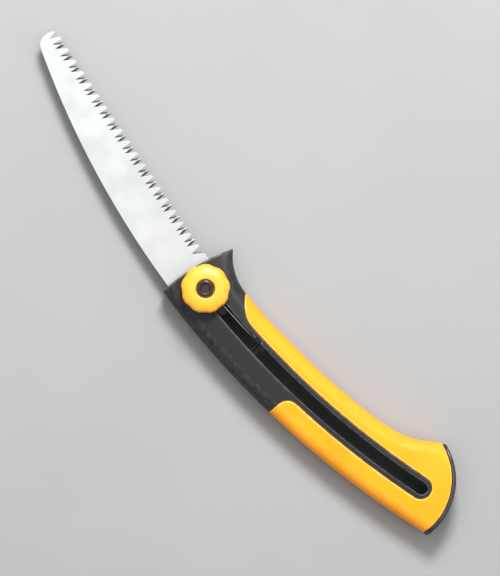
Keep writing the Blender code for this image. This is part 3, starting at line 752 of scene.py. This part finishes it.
def zipped(loop_u, first, step):
    """Triangles across a long closed loop: vertex k is first + k * step and lies at loop_u[k] lengthwise."""
    front = loop_u.index(max(loop_u))
    order = list(range(front, len(loop_u))) + list(range(front))
    rear = min(range(len(order)), key=lambda k: loop_u[order[k]])
    a, b = order[:rear + 1], [order[0], *order[:rear - 1:-1]]
    faces, i, j = [], 0, 0
    while i < len(a) - 1 or j < len(b) - 1:
        if j == len(b) - 1 or (i < len(a) - 1 and loop_u[a[i + 1]] >= loop_u[b[j + 1]]):
            corners, i = (a[i], a[i + 1], b[j]), i + 1
        else:
            corners, j = (a[i], b[j + 1], b[j]), j + 1
        if len(set(corners)) == 3:
            faces.append(tuple(first + k * step for k in corners))
    return faces


def make_shell(name, top):
    stations = shell_stations()
    normals = left_normals([station[2] for station in stations], closed=True)
    rings = [half_section(station, normal, top) for station, normal in zip(stations, normals)]
    columns = len(rings[0])
    faces = ring_faces(len(rings), columns, True)
    if not top:
        rings = [[(x, y, TOP_Z - z) for x, y, z in ring] for ring in rings]
        faces = [face for k, face in enumerate(faces) if k % columns != columns - 1]
        seam_u = [round(station[0] + station[1][0] * SEAM_HALF, 6) for station in stations]
        faces += zipped(seam_u, 0, columns) + zipped(seam_u, columns - 1, columns)
    shell = mesh_object(name, [p for ring in rings for p in ring], faces, "handle", MATERIALS["black_nylon"])
    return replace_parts(shell, name)


def make_grip(name, top):
    """One of the two soft panels, a ribbon from the front of the teeth side round the butt to the back."""
    inner, outer = grip_edges()
    lip, rim = 0.5, 0.3
    rings = []
    for edge, edge_normal, out, out_normal in zip(inner, left_normals(inner), outer, left_normals(outer)):
        start, stop = shifted(edge, edge_normal, lip), shifted(out, out_normal, -rim)
        ring = [skin(*edge, GRIP_THICK), skin(*edge, lip)]
        ring.append(skin(*shifted(edge, edge_normal, 0.3 * lip), 0.3 * lip))
        ring += [skin(*mix(start, stop, k / SKIN_STEPS)) for k in range(SKIN_STEPS + 1)]
        ring.append(skin(*shifted(out, out_normal, -0.3 * rim), 0.3 * rim))
        ring += [skin(*out, rim), skin(*out, GRIP_THICK)]
        ring += [skin(*mix(out, edge, k / UNDER_STEPS), GRIP_THICK) for k in range(1, UNDER_STEPS)]
        rings.append(ring if top else [(x, y, TOP_Z - z) for x, y, z in ring])
    grip = loft(name, rings, "handle", MATERIALS["amber_grip"])
    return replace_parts(grip, name)


def make_end_cap():
    """Rim over the butt: it follows the skin's height, thins to the heel and has rounded ends."""
    (cx, cy), butt_r = BUTT
    places = []
    for share in [*spread(-0.885, -0.4, 22), *spread(-0.38, 0.5, 26), *spread(0.52, 0.92, 20)]:
        u, a = butt_curve(share)
        places.append(skin(u, a))
    along = [0.0]
    for a, b in zip(places, places[1:]):
        along.append(along[-1] + math.dist(a[:2], b[:2]))
    rings = []
    for (x, y, z), at in zip(places, along):
        reach = math.hypot(x - cx, y - cy)
        ex, ey = (x - cx) / reach, (y - cy) / reach
        thick = 1.55 + 0.8 * min(1.0, at / 22.0)
        end = min(at, along[-1] - at)
        if end < 1.4:
            thick -= 0.9 * (1 - math.sqrt(1 - (1 - end / 1.4) ** 2))
        bend = min(1.25, thick * 0.6)
        top = [(GAP, z - 0.25), (GAP + 0.08, z - 0.06), (GAP + 0.3, z)]
        for deg in range(80, -1, -16):
            turn = math.radians(deg)
            top.append((GAP + thick - bend + bend * math.cos(turn), z - bend + bend * math.sin(turn)))
        half = top + [(GAP + thick + 0.05, (z - bend + MID_Z) / 2 + 0.5)]
        ring = half + [(out, TOP_Z - height) for out, height in reversed(half)]
        rings.append([(cx + ex * (butt_r + out), cy + ey * (butt_r + out), height) for out, height in ring])
    cap = loft("end_cap", rings, "handle", MATERIALS["black_cap"])
    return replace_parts(cap, "end_cap")


# ---------------------------------------------------------------- blade

BLADE_BACK_R, BLADE_EDGE_R = 545.0, 516.2
TOOTH_COUNT, TOOTH_PITCH, TOOTH_DEPTH, FIRST_TOOTH_U = 37, 4.01, 6.6, 167.6
SHOULDER_U, TANG_END_U = 17.4, -13.0
GULLET_LAG, GULLET_SKEW = 0.85, 0.6
FACET = (1.6, 0.75)                        # the ground facet at a tooth's point, along and across
TOOTH_LINE_RISE, TOOTH_LINE_BEND_U = 0.000995, 43.0      # the tooth line leaves the arc here
SHORT_POINT = 0.42                         # how far down its height a bevelled tooth's flat face stops


def tooth_line(u):
    return BLADE_EDGE_R + TOOTH_LINE_RISE * max(0.0, u - TOOTH_LINE_BEND_U) ** 2


def tooth_points():
    u, places = FIRST_TOOTH_U, []
    for _ in range(TOOTH_COUNT):
        places.append(u)
        slope = 2 * TOOTH_LINE_RISE * max(0.0, u - TOOTH_LINE_BEND_U)
        u -= TOOTH_PITCH / math.hypot(tooth_line(u) / ARC_R, slope)
    return places


def toothed_edge(face):
    """The toothed edge on one face, +1 the top. Every second tooth is bevelled on this face."""
    first_u = FIRST_TOOTH_U + 2.2
    points = [(first_u, tooth_line(first_u) + TOOTH_DEPTH)]
    for k, u in enumerate(tooth_points()):
        flat = (k % 2 == 0) == (face > 0)
        skew = GULLET_SKEW if flat else -GULLET_SKEW
        gullet_u = u - GULLET_LAG - skew
        tip_r = tooth_line(u)
        if flat:
            points += [(u + FACET[0], tip_r + FACET[1]), (u, tip_r)]
        else:
            short_u, short_r = u + 0.75, tip_r + TOOTH_DEPTH * SHORT_POINT
            points += [(short_u + 0.35, short_r + 0.15), (short_u - 0.05, short_r)]
        points.append((gullet_u, tooth_line(gullet_u) + TOOTH_DEPTH))
    return points


def plain_edge(inset):
    """The rest of the blade's outline: shoulder, tang, back and tip."""
    r_low, r_high = BLADE_EDGE_R + inset, BLADE_BACK_R - inset
    points = [(SHOULDER_U - inset, r_low), (8.0, r_low), (0.0, r_low), (TANG_END_U + 5, r_low + 0.3)]
    points += [(TANG_END_U + inset, 521.5), (TANG_END_U + inset, 540.0), (TANG_END_U + 4, r_high)]
    points += [(u, r_high) for u in spread(-4.0, 160.0, 30)]
    tip = [
        (160.0, 545.0), (166.8, 544.9), (170.1, 543.9), (172.3, 541.5),
        (173.45, 538.5), (173.6, 535.9), (172.9, 533.4),
    ]
    curve = smooth_path(tip, 26)[1:]
    return points + [shifted(p, n, -inset) for p, n in zip(curve, left_normals(curve))]


def make_blade():
    chamfer = 0.12
    bottom, top = toothed_edge(-1), toothed_edge(1)
    rings = []
    for share, z, inset in (
        (0.0, BLADE_LOW_Z, chamfer), (0.1, BLADE_LOW_Z + chamfer, 0.0),
        (0.9, BLADE_TOP_Z - chamfer, 0.0), (1.0, BLADE_TOP_Z, chamfer),
    ):
        teeth = [mix(a, b, share) for a, b in zip(bottom, top)]
        rings.append([place(u, r, z) for u, r in teeth + plain_edge(inset)])
    blade = loft("blade", rings, "carriage", MATERIALS["blade_steel"], sharp_deg=20.0)
    for u, radius in ((0.0, 3.3), (9.3, 1.55), (-9.3, 1.55)):
        x, y, _ = place(u, ARC_R, 0)
        profile = [(radius, BLADE_LOW_Z - 1), (radius, BLADE_TOP_Z + 1)]
        cut(blade, turned("hole", profile, (x, y), "carriage", MATERIALS["blade_steel"], 32))
    dress(blade, MATERIALS["blade_steel"], 20.0)
    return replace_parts(blade, "blade")


# ---------------------------------------------------------------- knob and screws

LOBES, LOBE_DEPTH, LAND_DEG = 9, 0.5, 8.5


def scallop(deg):
    """How far the knob's rim is set in at an angle, 0 on a lobe's flat top and 1 in a scallop's middle."""
    off = abs((deg + 180 / LOBES) % (360 / LOBES) - 180 / LOBES)
    reach = (off - LAND_DEG) / (180 / LOBES - LAND_DEG)
    return 0.0 if reach <= 0 else 0.12 + 0.88 * (1 - (1 - min(1.0, reach)) ** 2)


def make_knob():
    """Nine flat-topped lobes round the rim, a low dome and a chamfered recess for the screw's head."""
    low, top, rim = KNOB_LOW_Z, KNOB_TOP_Z, KNOB_R
    profile = [                            # radius, height, how much of the scallops shows
        (5.5, low, 0), (5.9, low, 0), (rim - 1.4, low, 1),
        (rim - 0.7, low + 0.15, 1), (rim - 0.25, low + 0.6, 1),
        (rim, low + 1.5, 1), (rim, low + 3.0, 1), (rim - 0.05, top - 4.0, 1), (rim - 0.2, top - 3.2, 1),
        (rim - 0.55, top - 2.45, 1), (rim - 1.1, top - 1.8, 0.95), (rim - 1.9, top - 1.25, 0.8),
        (rim - 2.9, top - 0.82, 0.5), (rim - 4.1, top - 0.45, 0.2), (rim - 5.4, top - 0.18, 0),
        (7.6, top - 0.05, 0),
        (6.6, top, 0), (6.05, top - 0.04, 0), (5.75, top - 0.2, 0), (5.55, top - 0.5, 0), (5.5, top - 1.0, 0),
        (5.5, top - 3.0, 0), (5.5, low + 1.0, 0),
    ]
    lobe = [-LAND_DEG, -LAND_DEG + 0.6, -5, -2.5, 0, 2.5, 5, LAND_DEG - 0.6, LAND_DEG]
    lobe += [LAND_DEG + 0.5, LAND_DEG + 1.5, 12, 14, 16, 18, 20, 22, 24, 26, 28, 30, 30.5, 31]
    rings = []
    for turn in range(LOBES):
        for deg in lobe:
            angle = math.radians(360 / LOBES * turn + deg)
            rings.append([])
            for radius, z, share in profile:
                reach = radius - LOBE_DEPTH * share * scallop(deg)
                rings[-1].append((reach * math.cos(angle), reach * math.sin(angle), z))
    knob = loft("knob", rings, "knob", MATERIALS["amber_nylon"], closed=True, sharp_deg=50.0)
    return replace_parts(knob, "knob")


def hexed(flats, centre_deg=0.0):
    """Radius of a hexagon at an angle."""
    def radius_at(angle):
        turn = (math.degrees(angle) - centre_deg) % 60.0 - 30.0
        return flats / 2 / math.cos(math.radians(turn))
    return radius_at


def make_screw(name, body, material, centre, below, above, head_r, flats, socket, head_down=False):
    """A socket head screw.

    below lists (radius, z) from its end to the head, and above is the head's z range.
    """
    low, high = above
    sign = -1 if head_down else 1
    profile = [(0.0, below[0][1]), *below]
    profile += [(head_r - 0.25, low), (head_r, low + sign * 0.25), (head_r, high - sign * 0.55)]
    profile += [(head_r - 0.12, high - sign * 0.22), (head_r - 0.4, high - sign * 0.04), (head_r - 0.7, high)]
    first_hex = len(profile)
    profile += [(0.14 * flats, high), (0.02 * flats, high - sign * 0.045 * flats)]
    profile += [(0.0, high - sign * 0.09 * flats), (0.0, high - sign * (socket - 0.15))]
    profile += [(-0.12, high - sign * socket), (None, high - sign * (socket + 0.25))]
    hexagon = hexed(flats, 8.0)

    def radius_at(k, radius, angle):
        if k < first_hex:
            return radius
        return hexagon(angle) + radius if radius is not None else 0.0

    screw = turned(name, profile, centre, body, MATERIALS[material], 72, radius_at)
    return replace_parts(screw, name)


def make_clamp_screw():
    clip_low, clip_high = (corner.z for corner in cad_box("stop_clip"))
    head_low = SCREW_TOP_Z - 2.7
    below = [
        (2.3, SCREW_END_Z), (2.7, SCREW_END_Z + 0.4), (2.7, clip_low - GAP), (2.1, clip_low - GAP),
        (2.1, clip_high + GAP), (3.0, clip_high + GAP), (3.0, head_low),
    ]
    return make_screw(
        "clamp_screw", "knob", "black_steel", (0, 0), below, (head_low, SCREW_TOP_Z), SCREW_HEAD_R, 5.0, 1.55,
    )


def make_housing_screw(where):
    name = "housing_screw_" + where
    (x, y, _) = place(*HOUSING_SCREWS[where], 0)
    low, high = (corner.z for corner in cad_box(name))
    below = [(0.95, high), (1.25, high - 0.4), (1.25, low + 1.6)]
    return make_screw(name, "handle", "zinc_steel", (x, y), below, (low + 1.6, low), 2.4, 2.5, 0.75, True)


def sink_screw_heads(shell, grip):
    """Counterbores in the lower half for the housing screws' heads."""
    for where, (u, r) in HOUSING_SCREWS.items():
        x, y, _ = place(u, r, 0)
        for piece in (shell, grip):
            if piece is grip and where == "nose":
                continue
            profile = [(3.35, -3.0), (3.35, -0.2), (3.0, 0.35), (3.0, 3.5), (1.55, 3.5), (1.55, 17.3)]
            counterbore = turned("counterbore", profile, (x, y), "handle", MATERIALS["black_nylon"], 48)
            cut(piece, counterbore, self_touching=piece is shell)
    dress(shell, MATERIALS["black_nylon"])
    dress(grip, MATERIALS["amber_grip"])


# ---------------------------------------------------------------- carried-over pieces

CARRIED = {
    "slot_shoe": ("grey_acetal", 0.25), "nut_shoe": ("grey_acetal", 0.2), "clamp_nut": ("zinc_steel", 0.25),
    "tang_pin_front": ("zinc_steel", 0.15), "tang_pin_rear": ("zinc_steel", 0.15),
    "thrust_washer": ("zinc_steel", 0.12), "knob_insert": ("brass", 0.15), "stop_clip": ("zinc_steel", 0.12),
    "detent_spring": ("spring_steel", 0.08),
}


def dress_carried():
    """Small CAD pieces keep their shape and get softened edges and a real finish."""
    for name, (material, edge) in CARRIED.items():
        node = frame["nodes"][name]
        node.data.materials.clear()
        node.data.materials.append(MATERIALS[material])
        weld = node.modifiers.new("weld", "WELD")
        weld.merge_threshold = 0.002 * MM
        soft = node.modifiers.new("soft_edges", "BEVEL")
        soft.width = edge * MM
        soft.segments = 2
        soft.limit_method = "ANGLE"
        soft.angle_limit = math.radians(50)
        soft.harden_normals = False


# ---------------------------------------------------------------- stage

def make_floor():
    mesh = bpy.data.meshes.new("floor")
    size = 3.0
    corners = [(x * size, y * size, -0.0002) for x, y in ((-1, -1), (1, -1), (1, 1), (-1, 1))]
    mesh.from_pydata(corners, [], [(0, 1, 2, 3)])
    floor = bpy.data.objects.new("floor", mesh)
    bpy.context.scene.collection.objects.link(floor)
    paint = Finish("floor", 0.8)
    shades = [(0.4, (0.292, 0.292, 0.290)), (0.6, (0.300, 0.300, 0.298))]
    paint.set("Base Color", paint.colours(paint.noise(120.0), shades))
    mesh.materials.append(paint.material)


IMAGE_UP = Vector((0.788, -0.615, 0)).normalized()      # the camera's up direction on the floor
IMAGE_RIGHT = Vector((IMAGE_UP.y, -IMAGE_UP.x, 0))
VIEW_CENTRE = Vector((-15.5, -20.5, 0)) * MM            # the point of the floor in the picture's middle
VIEW_HEIGHT = 334.0 * MM                                # height of the picture in a plane through the saw,
VIEW_Z = 14.0                                           # at this height
CAMERA_HEIGHT = 2.6


def make_camera():
    camera = bpy.data.cameras.new("camera")
    camera.sensor_fit = "AUTO"
    camera.sensor_width = 36.0
    height = CAMERA_HEIGHT - VIEW_Z * MM
    camera.lens = 36.0 * height / VIEW_HEIGHT
    obj = bpy.data.objects.new("camera", camera)
    bpy.context.scene.collection.objects.link(obj)
    back = Vector((0, 0, 1))
    turn = Matrix((IMAGE_RIGHT, IMAGE_UP, back)).transposed()
    obj.matrix_world = Matrix.Translation(VIEW_CENTRE + back * CAMERA_HEIGHT) @ turn.to_4x4()
    camera.clip_start, camera.clip_end = 0.01, 20.0
    bpy.context.scene.camera = obj


def area_light(name, direction, distance, size, power, colour=(1, 1, 1)):
    light = bpy.data.lights.new(name, "AREA")
    light.shape = "SQUARE"
    light.size = size
    light.energy = power
    light.color = colour
    obj = bpy.data.objects.new(name, light)
    bpy.context.scene.collection.objects.link(obj)
    direction = direction.normalized()
    obj.location = direction * distance + Vector((-0.03, -0.02, 0))
    obj.rotation_mode = "QUATERNION"
    obj.rotation_quaternion = direction.to_track_quat("Z", "Y")


def make_lights():
    up, right, top = IMAGE_UP, IMAGE_RIGHT, Vector((0, 0, 1))
    area_light("key", up * 0.80 + right * 0.10 + top * 1.0, 1.6, 0.45, 36.0)
    area_light("overhead", top + up * 0.2, 1.9, 2.4, 25.0)
    area_light("fill", right * 0.9 - up * 0.3 + top * 0.7, 2.2, 1.2, 6.0)
    world = bpy.data.worlds.new("studio")
    world.use_nodes = True
    world.node_tree.nodes["Background"].inputs["Color"].default_value = (0.95, 0.98, 1.0, 1)
    world.node_tree.nodes["Background"].inputs["Strength"].default_value = 0.42
    bpy.context.scene.world = world
    bpy.context.scene.view_settings.view_transform = "Standard"


# ---------------------------------------------------------------- build

make_shell("shell_top", True)
lower_shell = make_shell("shell_bottom", False)
make_grip("grip_top", True)
lower_grip = make_grip("grip_bottom", False)
sink_screw_heads(lower_shell, lower_grip)
make_end_cap()
make_blade()
make_knob()
make_clamp_screw()
for screw_place in HOUSING_SCREWS:
    make_housing_screw(screw_place)
dress_carried()
make_floor()
make_camera()
make_lights()
